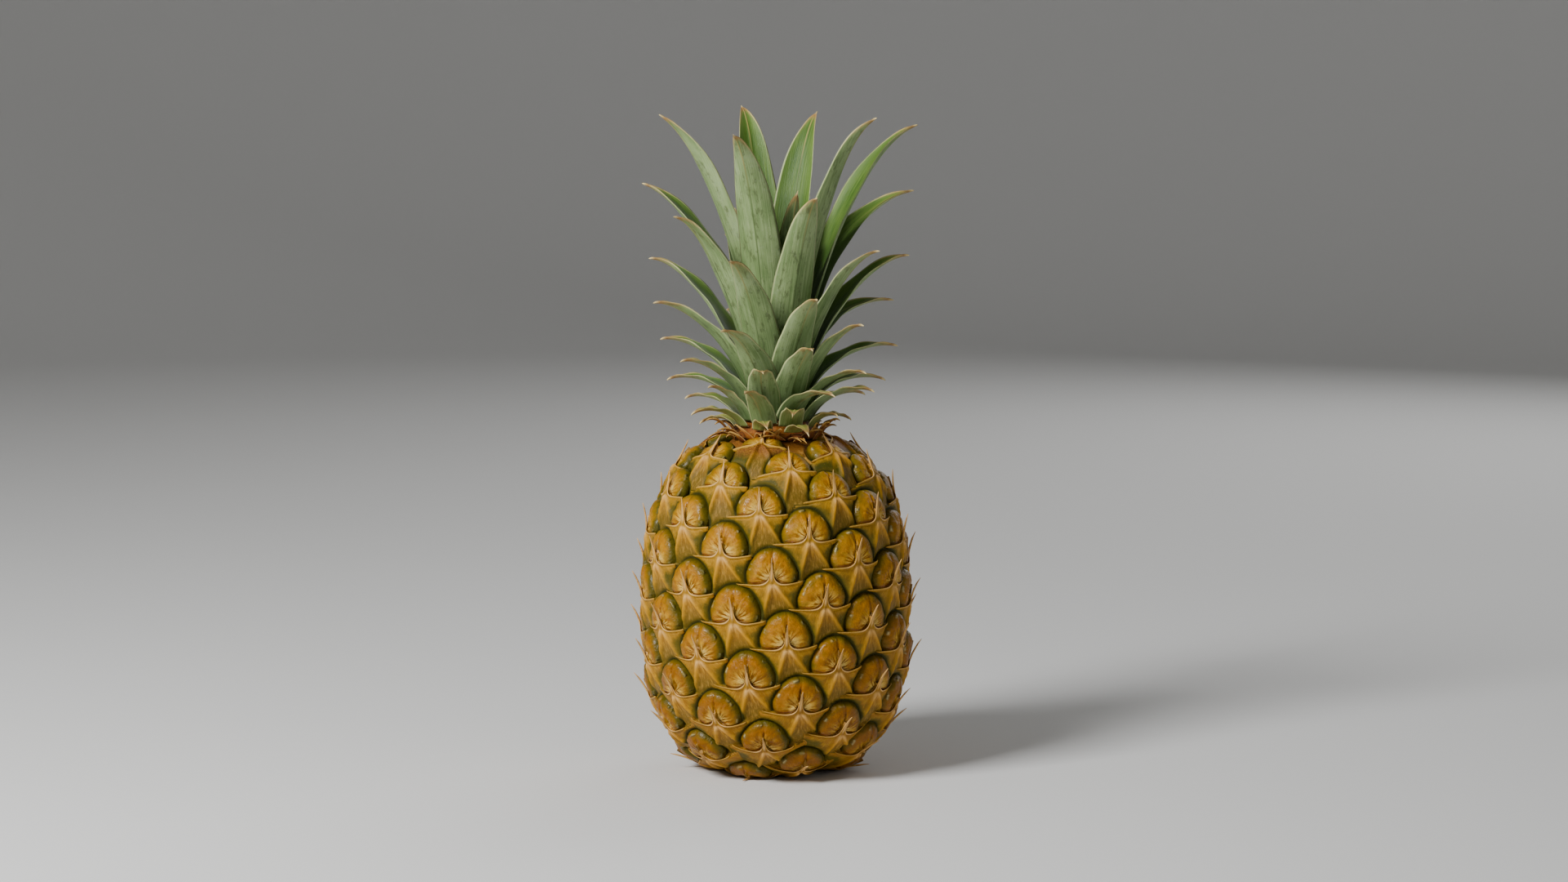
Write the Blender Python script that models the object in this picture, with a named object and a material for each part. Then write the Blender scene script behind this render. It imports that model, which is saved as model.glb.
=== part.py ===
"""A ripe pineapple with its crown of leaves, standing on the flat spot at its base.

Frame: metres, +Z up along the fruit's axis, origin in the middle of the flat spot that it rests on.
The eyes of the fruit and the leaves of the crown each follow a spiral, one fixed turn from each to
the next. The fruit is one grown piece. The crown's stem, the cut end of the stalk and every leaf are
pieces of their own.
"""

import math

import bmesh
import bpy
import numpy as np
from mathutils import Vector

# Fruit: a barrel whose half outlines, above and below the widest level, are superellipses.
FRUIT_RADIUS = 0.0605  # to the shoulders of the eyes
WIDEST_LEVEL = 0.0745
RISE_ABOVE = 0.0814
DROP_BELOW = 0.0757
WIDTH_POWER = 3.0
HEIGHT_POWER = 2.6
FLAT_SPOT_RADIUS = 0.0215
NECK_RADIUS = 0.0185
NECK_LEVEL = 0.1555

# Eyes: one to each turn of the spiral, smaller towards the ends of the fruit.
EYE_COUNT = 98
EYE_ROOM = 99.6  # how many eyes the skin would hold from the neck to the axis at the base
ROOM_ABOVE = 1.4  # how much of that lies above the highest eye
EYE_TURN = math.radians(-99.66)
FIRST_EYE_AZIMUTH = math.radians(185.5)
TOP_EYE_SHARE = 0.88  # area of the highest eye against one at the widest level
BASE_EYE_SHARE = 0.98
GROOVE_DEPTH = 0.0022
SHOULDER_WIDTH = 0.0034
BEAK_HEIGHT = 0.0022  # of the bract's beak, above the eye's shoulder

# Cut end of the stalk, level with the flat spot, in a shallow socket.
STALK_RADIUS = 0.0105
STALK_DEPTH = 0.0050
GAP = 0.0003  # left between pieces that meet
ROUND_SIDES = 32
MILLIMETRE = 0.001

# Crown: a low conical stem that carries the leaves, lowest first, and a collar of dry scales.
STEM_HEIGHT = 0.0200
STEM_RADIUS = 0.0180
STEM_TIP_RADIUS = 0.0040
COLLAR_HEIGHT = 0.0030
COLLAR_SCALES = 16
COLLAR_REACH = 0.0040
FOOT_CLEARANCE = 0.0005
LEAF_COUNT = 54
LEAF_TURN = math.radians(-135.0)
FIRST_LEAF_AZIMUTH = math.radians(25.0)
WRAP = 0.70  # half the angle that a leaf's foot may take round the stem
LEAF_THICKNESS = 0.0012
TIP_TAPER = 0.75  # length over which a leaf draws to its point, against its width
FOOT_HANDLE = 0.50  # how far a leaf keeps its first lean, and its last, as a share of its span
TIP_HANDLE = 0.14
LEAF_STEPS = (0.0, 0.16, 0.34, 0.52, 0.68, 0.80, 0.89, 0.96, 1.0)
CURVE_SAMPLES = 81
ACROSS = (-1.0, -0.5, 0.0, 0.5, 1.0)

# How the leaves change from the lowest to the innermost, each by its place in the spiral.
PLACES = (0, 5, 11, 19, 27, 35, 43, 47, 48, 53)
TIP_LEVEL = (0.003, 0.010, 0.019, 0.031, 0.051, 0.084, 0.141, 0.147, 0.115, 0.070)
TIP_REACH = (0.037, 0.042, 0.047, 0.052, 0.056, 0.058, 0.056, 0.050, 0.024, 0.006)
LEAF_WIDTH = (0.0185, 0.0195, 0.0205, 0.0215, 0.0225, 0.0235, 0.0245, 0.0240, 0.0165, 0.0080)
FOOT_LEAN = (34, 30, 25, 21, 16, 12, 8, 5, 4, 1)  # degrees out from upright
TIP_LEAN = (165, 160, 150, 135, 118, 100, 75, 60, 30, 8)

# Leaves that stray from the rule: place, then sideways swing in degrees, rise and reach in mm.
STRAYS = {
    0: (0, 0, -1),
    3: (15, -1, -3),
    5: (-18, 1, -6),
    8: (-15, -2, -2),
    11: (0, 4, -5),
    14: (12, 1, -10),
    16: (12, -5, -5),
    17: (5, -3, 2),
    18: (-6, -5, 3),
    19: (14, 2, -1),
    21: (-8, -5, -6),
    22: (3, -2, -4),
    24: (-6, 0, -3),
    25: (5, -2, 1),
    26: (-6, -8, 5),
    27: (-8, 1, -3),
    29: (-12, -6, -9),
    30: (-5, 0, 3),
    31: (-32, -7, 14),
    32: (-5, -5, -2),
    33: (5, 6, 4),
    34: (-5, 3, 9),
    35: (-2, 0, -2),
    37: (-5, -11, -5),
    38: (11, -2, 0),
    39: (-36, 0, 22),
    40: (-5, -7, -2),
    41: (3, -10, 9),
    42: (-6, 10, 14),
    44: (-5, 10, -6),
    45: (-5, 4, -2),
    46: (0, 4, 7),
    47: (-8, 3, -8),
}

PLAIN_COLOURS = {
    "skin": (0.62, 0.36, 0.06),
    "stalk": (0.55, 0.42, 0.22),
    "stem": (0.36, 0.20, 0.08),
    "leaf": (0.27, 0.38, 0.18),
}


def fruit_outline(level):
    """Radius of the barrel at a height above the flat spot."""
    away = (level - WIDEST_LEVEL) / (RISE_ABOVE if level > WIDEST_LEVEL else DROP_BELOW)
    return FRUIT_RADIUS * max(0.0, 1 - abs(away) ** HEIGHT_POWER) ** (1 / WIDTH_POWER)


def round_axis(radius, azimuth, level):
    """Point at an azimuth that is 0 towards -Y and grows towards +X."""
    return Vector((radius * math.sin(azimuth), -radius * math.cos(azimuth), level))


def eye_levels():
    """Height of each eye: the spiral climbs so that each eye has its share of the skin."""
    levels = np.linspace(NECK_LEVEL, 0.0, 4001)
    radii = np.array([fruit_outline(level) for level in levels])
    middle = (levels - WIDEST_LEVEL) / np.where(levels > WIDEST_LEVEL, RISE_ABOVE, DROP_BELOW)
    end_share = np.where(levels > WIDEST_LEVEL, TOP_EYE_SHARE, BASE_EYE_SHARE)
    eye_area = 1 - (1 - end_share) * np.abs(middle) ** 3
    slant = np.hypot(np.diff(levels), np.diff(radii))
    eyes_passed = np.cumsum(slant * (radii[1:] + radii[:-1]) / (eye_area[1:] + eye_area[:-1]))
    wanted = (np.arange(EYE_COUNT) + ROOM_ABOVE) / EYE_ROOM * eyes_passed[-1]
    return np.interp(wanted, eyes_passed, levels[1:])


def plain_material(name):
    material = bpy.data.materials.get(name)
    if material is None:
        material = bpy.data.materials.new(name)
        material.use_nodes = True
        shader = material.node_tree.nodes["Principled BSDF"]
        shader.inputs["Base Color"].default_value = (*PLAIN_COLOURS[name], 1)
        shader.inputs["Roughness"].default_value = 0.55
    return material


def add_object(name, mesh_source, material_name):
    """A closed mesh as a named object: all triangles, facing out."""
    bmesh.ops.triangulate(mesh_source, faces=list(mesh_source.faces))
    bmesh.ops.recalc_face_normals(mesh_source, faces=list(mesh_source.faces))
    if mesh_source.calc_volume(signed=True) < 0:
        bmesh.ops.reverse_faces(mesh_source, faces=list(mesh_source.faces))
    mesh = bpy.data.meshes.new(name)
    mesh_source.to_mesh(mesh)
    mesh_source.free()
    mesh.materials.append(plain_material(material_name))
    made = bpy.data.objects.new(name, mesh)
    bpy.context.scene.collection.objects.link(made)
    return made


def clear_scene():
    for old in list(bpy.data.objects):
        bpy.data.objects.remove(old)


def corner_of(face):
    """Where three eyes meet: below the middle of their triangle, at the bottom of the groove."""
    middle = face.calc_center_median()
    radius = fruit_outline(min(max(middle.z, 0.0), NECK_LEVEL)) - GROOVE_DEPTH * 0.3
    azimuth = math.atan2(middle.x, -middle.y)
    return round_axis(max(radius, FLAT_SPOT_RADIUS), azimuth, middle.z)


def round_vertex(vertex):
    """The faces at a vertex of a closed mesh, in order, walked from edge to edge."""
    loop = vertex.link_loops[0]
    ring = [loop.face]
    while True:
        loop = loop.link_loop_prev.link_loop_radial_next
        if loop.face == ring[0]:
            return ring
        ring.append(loop.face)


def eye_cells():
    """The skin as one many-sided cell round each eye, from the triangles between the eyes."""
    centres = bmesh.new()
    for place, level in enumerate(eye_levels()):
        azimuth = FIRST_EYE_AZIMUTH + place * EYE_TURN
        centres.verts.new(round_axis(fruit_outline(level), azimuth, level))
    top = centres.verts.new((0, 0, WIDEST_LEVEL + RISE_ABOVE))
    base = centres.verts.new((0, 0, WIDEST_LEVEL - DROP_BELOW))
    bmesh.ops.convex_hull(centres, input=list(centres.verts))
    centres.faces.index_update()
    bmesh.ops.recalc_face_normals(centres, faces=list(centres.faces))
    cells = bmesh.new()
    corners = [cells.verts.new(corner_of(face)) for face in centres.faces]
    ends = {}
    for vertex in centres.verts:
        cell = cells.faces.new([corners[face.index] for face in round_vertex(vertex)])
        if vertex in (top, base):
            ends["top" if vertex is top else "base"] = cell
    bmesh.ops.recalc_face_normals(cells, faces=list(cells.faces))
    for cell, radius, level in (
        (ends["top"], NECK_RADIUS, NECK_LEVEL),
        (ends["base"], FLAT_SPOT_RADIUS, 0.0),
    ):
        for corner in cell.verts:
            corner.co = round_axis(radius, math.atan2(corner.co.x, -corner.co.y), level)
    centres.free()
    return cells, list(ends.values())


def make_fruit():
    """Each cell is raised to a shouldered eye, and its bract to a low beak in the middle."""
    skin, ends = eye_cells()
    eyes = [cell for cell in skin.faces if cell not in ends]
    bmesh.ops.inset_individual(skin, faces=eyes, thickness=SHOULDER_WIDTH, depth=GROOVE_DEPTH)
    bmesh.ops.poke(skin, faces=eyes, offset=BEAK_HEIGHT)
    for vertex in skin.verts:
        vertex.co.z = min(max(vertex.co.z, 0.0), NECK_LEVEL)
    return add_object("fruit", skin, "skin")


def round_bar(radius, low, high, sides=ROUND_SIDES):
    """A closed upright cylinder about the axis."""
    bar = bmesh.new()
    bmesh.ops.create_cone(
        bar,
        cap_ends=True,
        segments=sides,
        radius1=radius,
        radius2=radius,
        depth=high - low,
    )
    bmesh.ops.translate(bar, verts=list(bar.verts), vec=(0, 0, (low + high) / 2))
    return bar


def cut_socket(fruit):
    socket = round_bar(STALK_RADIUS + GAP, -STALK_DEPTH, STALK_DEPTH)
    cutter = add_object("stalk_socket_cutter", socket, "stalk")
    cutter.hide_render = True
    cutter.display_type = "WIRE"
    cut = fruit.modifiers.new("stalk_socket", "BOOLEAN")
    cut.operation = "DIFFERENCE"
    cut.object = cutter


def make_stalk():
    stub = round_bar(STALK_RADIUS, 0.0, STALK_DEPTH - GAP)
    return add_object("cut_stalk", stub, "stalk")


def make_stem():
    """A low cone on an upright band, each side of which comes out to the point of a dry scale."""
    stem = round_bar(STEM_RADIUS, NECK_LEVEL + GAP, NECK_LEVEL + COLLAR_HEIGHT, COLLAR_SCALES)
    band = [face for face in stem.faces if len(face.verts) == 4]
    lid = max(stem.faces, key=lambda face: face.calc_center_median().z)
    top = bmesh.ops.extrude_discrete_faces(stem, faces=[lid])["faces"][0]
    for vertex in top.verts:
        vertex.co.xy *= STEM_TIP_RADIUS / STEM_RADIUS
        vertex.co.z = NECK_LEVEL + STEM_HEIGHT
    bmesh.ops.poke(stem, faces=band, offset=COLLAR_REACH)
    return add_object("crown_stem", stem, "stem")


def leaf_foot(place):
    """Where a leaf grows from the cone, as (reach, level)."""
    share = place / (LEAF_COUNT - 1)
    radius = STEM_RADIUS + (STEM_TIP_RADIUS - STEM_RADIUS) * share
    rise = COLLAR_HEIGHT + FOOT_CLEARANCE + (STEM_HEIGHT - COLLAR_HEIGHT) * share
    return np.array((radius + LEAF_THICKNESS, NECK_LEVEL + rise))


def leaf_width(share, length, widest):
    """Full width at a share of the length: broad all along, then drawn out to the tip."""
    foot = 0.85 + 0.15 * min(share / 0.3, 1.0)
    return widest * foot * (1 - math.exp((share - 1) * length / (TIP_TAPER * widest)))


def leaf_line(place):
    """A leaf's middle line, (azimuth, reach, level, lean) at each of LEAF_STEPS; its length, width."""

    def now(values):
        return float(np.interp(place, PLACES, values))

    swing, more_rise, more_reach = STRAYS.get(place, (0, 0, 0))
    foot = leaf_foot(place)
    tip = np.array((now(TIP_REACH), NECK_LEVEL + now(TIP_LEVEL)))
    tip += np.array((more_reach, more_rise)) * MILLIMETRE
    lean, end_lean = math.radians(now(FOOT_LEAN)), math.radians(now(TIP_LEAN))
    span = math.dist(foot, tip)
    first = foot + FOOT_HANDLE * span * np.array((math.sin(lean), math.cos(lean)))
    second = tip - TIP_HANDLE * span * np.array((math.sin(end_lean), math.cos(end_lean)))
    t = np.linspace(0, 1, CURVE_SAMPLES)[:, None]
    curve = (1 - t) ** 3 * foot + 3 * (1 - t) ** 2 * t * first
    curve += 3 * (1 - t) * t**2 * second + t**3 * tip
    steps = np.diff(curve, axis=0)
    lengths = np.concatenate(([0], np.cumsum(np.hypot(*steps.T))))
    leans = np.arctan2(*steps.T)
    line = []
    for share in LEAF_STEPS:
        azimuth = FIRST_LEAF_AZIMUTH + place * LEAF_TURN + math.radians(swing) * share
        at = share * lengths[-1]
        reach, level = (float(np.interp(at, lengths, curve[:, i])) for i in (0, 1))
        line.append((azimuth, reach, level, float(np.interp(at, lengths[1:], leans))))
    return line, float(lengths[-1]), now(LEAF_WIDTH)


def make_leaf(place):
    """A channelled blade: sections across its middle line, arched round the stem at the foot."""
    line, length, widest = leaf_line(place)
    blade = bmesh.new()
    rings = []
    for t, (azimuth, reach, level, lean) in zip(LEAF_STEPS, line):
        outward = round_axis(1.0, azimuth, 0.0)
        sideways = Vector((math.cos(azimuth), math.sin(azimuth), 0.0))
        half = min(leaf_width(t, length, widest) / 2, WRAP * reach)
        arch = (1 - t) * half / reach + t * 0.9
        inner_side = Vector((0, 0, math.sin(lean))) - outward * math.cos(lean)
        middle = outward * reach + Vector((0, 0, level))
        if t == LEAF_STEPS[-1]:
            rings.append([blade.verts.new(middle)])
            continue
        faces = []
        for side in (-0.5, 0.5):
            row = []
            for across in ACROSS:
                bend = arch * across
                shift = half * math.sin(bend) / arch * sideways
                depth = half * (1 - math.cos(bend)) / arch
                depth += side * LEAF_THICKNESS * (1 - 0.5 * t) * (1 - across * across)
                row.append(middle + shift + depth * inner_side)
            faces.append(row)
        outer, inner = faces
        rings.append([blade.verts.new(point) for point in outer + inner[3:0:-1]])
    for low, high in zip(rings, rings[1:]):
        for i, start in enumerate(low):
            end = low[(i + 1) % len(low)]
            if len(high) == 1:
                blade.faces.new((start, end, high[0]))
            else:
                blade.faces.new((start, end, high[(i + 1) % len(high)], high[i]))
    blade.faces.new(rings[0])
    return add_object(f"crown_leaf_{place + 1:02d}", blade, "leaf")


def main():
    clear_scene()
    fruit = make_fruit()
    cut_socket(fruit)
    make_stalk()
    make_stem()
    for place in range(LEAF_COUNT):
        make_leaf(place)


main()
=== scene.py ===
import math

import bpy
import numpy as np
from mathutils import Matrix, Vector


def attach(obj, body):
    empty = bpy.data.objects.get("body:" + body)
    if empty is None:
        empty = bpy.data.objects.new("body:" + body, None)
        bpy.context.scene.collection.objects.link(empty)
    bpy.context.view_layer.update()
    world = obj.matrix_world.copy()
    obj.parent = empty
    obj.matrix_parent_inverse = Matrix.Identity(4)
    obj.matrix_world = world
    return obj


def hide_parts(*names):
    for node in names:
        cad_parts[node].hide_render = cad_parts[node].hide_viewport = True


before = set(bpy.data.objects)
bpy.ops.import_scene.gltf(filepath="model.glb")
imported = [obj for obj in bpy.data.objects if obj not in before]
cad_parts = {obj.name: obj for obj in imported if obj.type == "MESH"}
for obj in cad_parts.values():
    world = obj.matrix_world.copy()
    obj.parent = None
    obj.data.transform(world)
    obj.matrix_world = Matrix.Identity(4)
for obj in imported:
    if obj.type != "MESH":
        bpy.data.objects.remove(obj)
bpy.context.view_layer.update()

# ---------------------------------------------------------------- The rind
# The skin of the fruit, grown in one piece: a barrel covered by spirals of eyes. Below each eye's
# margin a leathery bract slopes down between the domes of the eyes under it, with two ribs that
# run to the corners, and grooves lie round every dome, painted near-black olive as shade.
FRUIT_RADIUS = 0.0605
WIDEST_LEVEL = 0.0745
RISE_ABOVE = 0.0814  # from the widest level to where the barrel would close at the top
DROP_BELOW = 0.0757
WIDTH_POWER = 3.0  # how square the barrel's shoulders are
HEIGHT_POWER = 2.6
FLAT_SPOT_RADIUS = 0.0215
NECK_RADIUS = 0.0185
NECK_LEVEL = 0.1555
SOCKET_RADIUS = 0.0108  # the hole that the cut stalk fills
SOCKET_DEPTH = 0.0047
SOCKET_SURROUND = 0.001  # the flat ring just inside the flat spot's edge
MM = 0.001

EYE_COUNT = 98
EYE_ROOM = 99.6
ROOM_ABOVE = 1.4
EYE_TURN = math.radians(-99.66)
FIRST_EYE_AZIMUTH = math.radians(185.5)
TOP_EYE_SHARE = 0.88
BASE_EYE_SHARE = 0.98

RIND_COLUMNS = 430
RIND_ROWS = 228
POINTS_AT_ONCE = 8000
TOP_FADE_ROWS = 6
BASE_FADE_ROWS = 8

# Sizes on an eye are in mm, across and up from the middle of its bract's margin.
BEAK_HEIGHT = 8.5
BEAK_WIDTH = 0.62
SHOULDER_HEIGHT = 3.7
SHOULDER_WIDTH = 2.4
MARGIN_DROP = 1.3
RIGHT_SWEEP = 0.0095  # how fast a margin rises away from the beak, each mm being squared
LEFT_SWEEP = 0.001
REACH_ACROSS = 24  # an eye has no say in the skin further away than this
REACH_UP = 26
BRACT_STAND = 2.45
BRACT_SLOPE = 0.17
LEFT_RIB_LEAN = 0.27
RIGHT_RIB_LEAN = 0.80
PANEL_LEAN = 0.26
RIB_STAND = 1.5
PANEL_HOLLOW = 0.45
GROOVE_FLOOR = -1.9  # below the barrel's outline
GROOVE_WIDTH = 0.085  # as a share of the dome's size, like the next one
GREEN_EDGE_WIDTH = 0.30
DOME_HALF_WIDTH = 12.5
DOME_MIDDLE = 4.0  # above the margin
DOME_RISE = 11.8
DOME_FALL = 12.0
DOME_POWER = 2.3
DOME_TAPER = 0.024  # how much narrower a dome gets with each mm above its middle
DOME_CROWN = 3.5


def fruit_radius(level):
    """How wide the barrel is at a level."""
    away = (level - WIDEST_LEVEL) / np.where(level > WIDEST_LEVEL, RISE_ABOVE, DROP_BELOW)
    return FRUIT_RADIUS * np.maximum(0, 1 - np.abs(away) ** HEIGHT_POWER) ** (1 / WIDTH_POWER)


def eye_levels():
    """Height of each eye, highest first: each has its share of the skin."""
    levels = np.linspace(NECK_LEVEL, 0.0, 4001)
    radii = fruit_radius(levels)
    middle = (levels - WIDEST_LEVEL) / np.where(levels > WIDEST_LEVEL, RISE_ABOVE, DROP_BELOW)
    end_share = np.where(levels > WIDEST_LEVEL, TOP_EYE_SHARE, BASE_EYE_SHARE)
    eye_area = 1 - (1 - end_share) * np.abs(middle) ** 3
    slant = np.hypot(np.diff(levels), np.diff(radii))
    passed = np.cumsum(slant * (radii[1:] + radii[:-1]) / (eye_area[1:] + eye_area[:-1]))
    return np.interp((np.arange(EYE_COUNT) + ROOM_ABOVE) / EYE_ROOM * passed[-1], passed, levels[1:])


def outward_slope(level):
    """The barrel's outward direction at a level, as (sideways part, upward part)."""
    height = np.where(level > WIDEST_LEVEL, RISE_ABOVE, DROP_BELOW)
    away = (level - WIDEST_LEVEL) / height
    round_part = WIDTH_POWER / FRUIT_RADIUS * (fruit_radius(level) / FRUIT_RADIUS) ** (WIDTH_POWER - 1)
    up_part = HEIGHT_POWER / height * np.abs(away) ** (HEIGHT_POWER - 1) * np.sign(away)
    length = np.hypot(round_part, up_part)
    return round_part / length, up_part / length


def on_barrel(azimuth, radius, level):
    """The point at an azimuth, which runs from the front towards the right."""
    return np.stack([radius * np.sin(azimuth), -radius * np.cos(azimuth), level], -1)


eye_level = eye_levels()
eye_azimuth = FIRST_EYE_AZIMUTH + np.arange(EYE_COUNT) * EYE_TURN
eye_place = on_barrel(eye_azimuth, fruit_radius(eye_level), eye_level)
slope_out, slope_up = outward_slope(eye_level)
eye_out = on_barrel(eye_azimuth, slope_out, slope_up)
eye_east = np.stack([np.cos(eye_azimuth), np.sin(eye_azimuth), np.zeros(EYE_COUNT)], -1)
eye_north = np.cross(eye_out, eye_east)
eye_dice = np.random.default_rng(7)
nearness_to_end = np.abs(eye_level - WIDEST_LEVEL) / RISE_ABOVE
eye_size = (1 - 0.16 * nearness_to_end**3) * (1 + eye_dice.normal(0, 0.018, EYE_COUNT))
eye_seed = eye_dice.random(EYE_COUNT)
eye_ripeness = np.clip(1 - (eye_level - 0.035) / 0.115 + eye_dice.normal(0, 0.05, EYE_COUNT), 0, 1)


def margin_height(across):
    """Height of a bract's upper margin, mm: near level, and swept up to the beak in the middle."""
    spike = BEAK_HEIGHT * np.exp(-((np.abs(across) / BEAK_WIDTH) ** 1.6))
    shoulders = SHOULDER_HEIGHT * np.exp(-((np.abs(across) / SHOULDER_WIDTH) ** 1.5))
    return spike + shoulders - MARGIN_DROP + np.where(across > 0, RIGHT_SWEEP, LEFT_SWEEP) * across**2


def bract_height(across, up):
    """How far the bract stands out, mm: a slope with two ribs and a hollow panel between them."""
    from_panel = across + PANEL_LEAN * up
    left_rib = np.exp(-(((across - LEFT_RIB_LEAN * up) / 1.1) ** 2))
    right_rib = np.exp(-(((across + RIGHT_RIB_LEAN * up) / 1.3) ** 2))
    middle_rib = 0.55 * np.exp(-((from_panel / 0.7) ** 2)) * np.clip(1 + (up + 3) / 7, 0, 1)
    started = np.clip(-up / 2.8, 0, 1)
    panel = np.exp(-((from_panel / (0.1 + 0.38 * np.abs(up))) ** 4)) * started
    ridge = RIB_STAND * np.maximum(np.maximum(left_rib, 0.85 * right_rib), middle_rib) * started
    return BRACT_STAND + BRACT_SLOPE * up - 0.0068 * across**2 + ridge - PANEL_HOLLOW * panel


def dome_share(across, up):
    """0 in the middle of an eye's dome and 1 on its outline."""
    rise = up - DOME_MIDDLE
    half = np.where(rise > 0, DOME_RISE, DOME_FALL)
    widened = np.abs(across) * (1 + DOME_TAPER * np.maximum(rise, 0)) / DOME_HALF_WIDTH
    return (widened**DOME_POWER + (np.abs(rise) / half) ** DOME_POWER) ** (1 / DOME_POWER)


def step_up(value, low, high):
    """0 below low and 1 above high, smooth between."""
    share = np.clip((value - low) / (high - low), 0, 1)
    return share * share * (3 - 2 * share)


def skin_at(points, outward):
    """The rind's height, groove, green edge, and place on the bract of its eye, at points."""
    gap = eye_place[None] - points[:, None]
    along = np.einsum("pek,ek->pe", gap, eye_out) / np.maximum(outward @ eye_out.T, 0.2)
    from_eye = points[:, None] + along[..., None] * outward[:, None] - eye_place[None]
    from_eye /= MM * eye_size[None, :, None]
    across = np.einsum("pek,ek->pe", from_eye, eye_east)
    up = np.einsum("pek,ek->pe", from_eye, eye_north)
    far = (outward @ eye_out.T < 0.3) | (np.abs(across) > REACH_ACROSS) | (np.abs(up) > REACH_UP)
    above = step_up(up - margin_height(across), -0.4, 0.5)
    share = np.where(far, 3.0, dome_share(across, up))
    past_margin = step_up(up - margin_height(across), -0.9, 0.0)
    bract = np.where(far | (past_margin >= 1), -9.0, bract_height(across, up) - 4.2 * past_margin)
    owner = bract.argmax(1)
    row = np.arange(len(points))
    height = np.maximum(bract[row, owner], GROOVE_FLOOR)
    groove = (np.exp(-(((share - 1.02) / GROOVE_WIDTH) ** 2)) * above).max(1)
    under_dome = (step_up(1.0 - share, 0.0, 0.1) * above).max(1)
    edge = (np.clip(1.0 - (share - 1.0) / GREEN_EDGE_WIDTH, 0, 1) * above).max(1)
    height = height - groove
    height = height * (1 - under_dome) + GROOVE_FLOOR * under_dome
    return height, groove, edge, across[row, owner], up[row, owner], owner


def levels_down(count, end_gap=0.0):
    """Levels from the barrel's top to its base, closer together where it turns inwards."""
    rise = np.sin(np.linspace(math.pi / 2 - end_gap, -math.pi / 2 + end_gap, count))
    level = WIDEST_LEVEL + RISE_ABOVE * rise
    lower = WIDEST_LEVEL - (WIDEST_LEVEL - level) * DROP_BELOW / RISE_ABOVE
    return np.where(level < WIDEST_LEVEL, lower, level)


def rind_outline():
    """The barrel's outline from the neck to the edge of the flat spot, evenly stepped."""
    level = levels_down(4001)
    radius = fruit_radius(level)
    kept = radius > np.where(level > WIDEST_LEVEL, NECK_RADIUS, FLAT_SPOT_RADIUS)
    radius, level = radius[kept], level[kept]
    passed = np.concatenate([[0], np.cumsum(np.hypot(np.diff(radius), np.diff(level)))])
    even = np.linspace(0, passed[-1], RIND_ROWS)
    return np.interp(even, passed, radius), np.interp(even, passed, level)


def ring_faces(rings, columns):
    """Faces between closed rings of points, one under another."""
    faces = []
    for start in range(0, (rings - 1) * columns, columns):
        for column in range(columns):
            a, b = start + column, start + (column + 1) % columns
            faces.append((a, a + columns, b + columns, b))
    return faces


def mesh_object(name, points, faces):
    """A smooth mesh in the scene, at the origin."""
    mesh = bpy.data.meshes.new(name)
    mesh.from_pydata([tuple(p) for p in points], [], faces)
    mesh.polygons.foreach_set("use_smooth", [True] * len(mesh.polygons))
    made = bpy.data.objects.new(name, mesh)
    bpy.context.scene.collection.objects.link(made)
    return made


def give(thing, name, values, kind="FLOAT"):
    """Writes a value for every point of a mesh."""
    layer = thing.data.attributes.new(name, kind, "POINT")
    field = "vector" if kind == "FLOAT_VECTOR" else "value"
    layer.data.foreach_set(field, np.ravel(values).astype(float))


radius_of_row, level_of_row = rind_outline()
azimuths = np.arange(RIND_COLUMNS) * 2 * math.pi / RIND_COLUMNS
grid_azimuth, grid_radius = np.meshgrid(azimuths, radius_of_row)
grid_level = np.repeat(level_of_row[:, None], RIND_COLUMNS, 1)
skin_points = on_barrel(grid_azimuth, grid_radius, grid_level).reshape(-1, 3)
out_part, up_part = outward_slope(grid_level)
skin_out = on_barrel(grid_azimuth, out_part, up_part).reshape(-1, 3)
found = []
for start in range(0, len(skin_points), POINTS_AT_ONCE):
    some = slice(start, start + POINTS_AT_ONCE)
    found.append(skin_at(skin_points[some], skin_out[some]))
found = [np.concatenate(part) for part in zip(*found)]
skin_height, skin_groove, skin_edge, skin_across, skin_up, skin_eye = found
row_number = np.repeat(np.arange(RIND_ROWS), RIND_COLUMNS)
ends_fade = step_up(row_number, 0, TOP_FADE_ROWS)
ends_fade = ends_fade * step_up(RIND_ROWS - 1 - row_number, 0, BASE_FADE_ROWS)
skin_points = skin_points + skin_out * (skin_height * MM * ends_fade)[:, None]
skin_points[:, 2] = np.maximum(skin_points[:, 2], 0.0)
# Under the fruit: the flat spot in to the socket, up the socket's wall, and its roof.
base_rings = ((FLAT_SPOT_RADIUS - SOCKET_SURROUND, 0.0), (SOCKET_RADIUS, 0.0), (SOCKET_RADIUS, SOCKET_DEPTH))
base_points = [
    on_barrel(azimuths, np.full(RIND_COLUMNS, radius), np.full(RIND_COLUMNS, level))
    for radius, level in base_rings
]
all_points = np.concatenate([skin_points, *base_points])
skin_faces = ring_faces(RIND_ROWS + len(base_rings), RIND_COLUMNS)
roof_start = len(all_points) - RIND_COLUMNS
skin_faces.append(tuple(roof_start + column for column in reversed(range(RIND_COLUMNS))))
skin_faces.append(tuple(range(RIND_COLUMNS)))
rind = mesh_object("fruit_rind", all_points, skin_faces)


def with_base(values, at_base):
    """The skin's values, then one value for every point under the fruit."""
    return np.concatenate([values, np.full(len(all_points) - len(values), at_base)])


give(rind, "across", with_base(skin_across, 0.0))
give(rind, "up", with_base(skin_up, -9.0))
give(rind, "groove", with_base(skin_groove, 0.4))
give(rind, "edge", with_base(skin_edge, 0.4))
give(rind, "seed", with_base(eye_seed[skin_eye], 0.5))
give(rind, "ripeness", with_base(eye_ripeness[skin_eye], 1.0))
give(rind, "lip", np.zeros(len(all_points)))


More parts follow.
